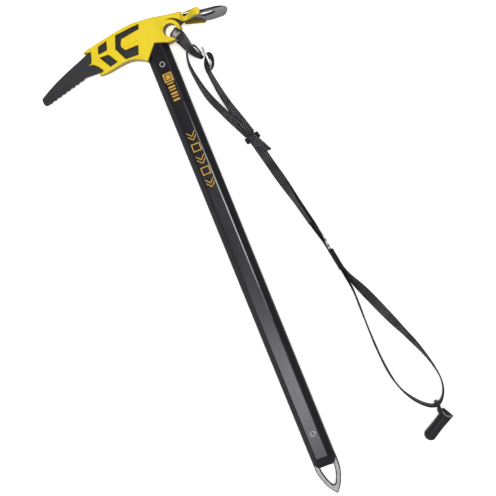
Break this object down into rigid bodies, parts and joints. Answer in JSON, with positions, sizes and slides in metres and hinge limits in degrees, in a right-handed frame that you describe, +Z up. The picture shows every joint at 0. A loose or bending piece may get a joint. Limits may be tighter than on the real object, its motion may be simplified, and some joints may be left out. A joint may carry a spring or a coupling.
{
  "type": "ice axe",
  "caption": "Ice axe with a faceted tube shaft, curved pick, scooped adze, two-part head cover, flat spike, and a webbing leash with wrist loop and rubber point cap.",
  "frame": {"origin": "bottom centre of the axe's own box, without the leash, on the ground it lies on", "axes": "+Y along the shaft towards the head, +X towards the adze and the leash, +Z up from the ground"},
  "size_m": [0.3461, 0.6608, 0.0603],
  "materials": {
    "pick_steel": "satin charcoal coat on steel",
    "adze_steel": "satin blasted steel",
    "cover_yellow": "satin moulded plastic",
    "shaft_black": "black anodised",
    "filler_grey": "moulded nylon",
    "rivet_steel": "bright plated steel",
    "plug_black": "satin moulded plastic",
    "spike_steel": "blasted stainless steel with ground edges",
    "webbing_black": "woven nylon",
    "ring_steel": "polished steel",
    "buckle_black": "satin moulded plastic",
    "keeper_black": "woven sleeve",
    "label_white": "blank woven tag",
    "cap_rubber": "matt moulded rubber"
  },
  "bodies": {
    "axe": {"head_plate": "pick_steel", "adze_blade": "adze_steel", "cover_near": "cover_yellow", "cover_far": "cover_yellow", "shaft_tube": "shaft_black", "head_spacer_near": "filler_grey", "head_spacer_far": "filler_grey", "head_rivet": "rivet_steel", "spike_rivet": "rivet_steel", "end_plug": "plug_black", "spike_blade": "spike_steel"},
    "leash": {"sling_band": "webbing_black", "link_ring": "ring_steel", "strap_left": "webbing_black", "strap_right": "webbing_black", "strap_eye": "webbing_black", "strap_over": "webbing_black", "strap_under": "webbing_black", "wrist_label": "label_white", "wrist_loop": "webbing_black", "cap_tab": "cap_rubber"},
    "adjuster": {"adjuster_buckle": "buckle_black", "strap_tail": "webbing_black"},
    "keeper": {"keeper_sleeve": "keeper_black"},
    "cap": {"point_cap": "cap_rubber"}
  },
  "joints": [
    {"name": "leash_swing", "type": "hinge", "parent": "axe", "child": "leash", "pos_m": [0.05645, 0.30315, 0.0246], "axis": [0, 0, 1], "range_deg": [-10, 20]},
    {"name": "adjuster_slide", "type": "slide", "parent": "leash", "child": "adjuster", "axis": [0.23, -0.9732, 0], "range_m": [0, 0.03]},
    {"name": "keeper_slide", "type": "slide", "parent": "leash", "child": "keeper", "axis": [0.1685, -0.9857, 0], "range_m": [-0.001, 0.003]},
    {"name": "cap_swing", "type": "hinge", "parent": "leash", "child": "cap", "pos_m": [0.19544, -0.28263, 0.00825], "axis": [-0.4879, 0.8729, 0], "range_deg": [0, 90]}
  ]
}
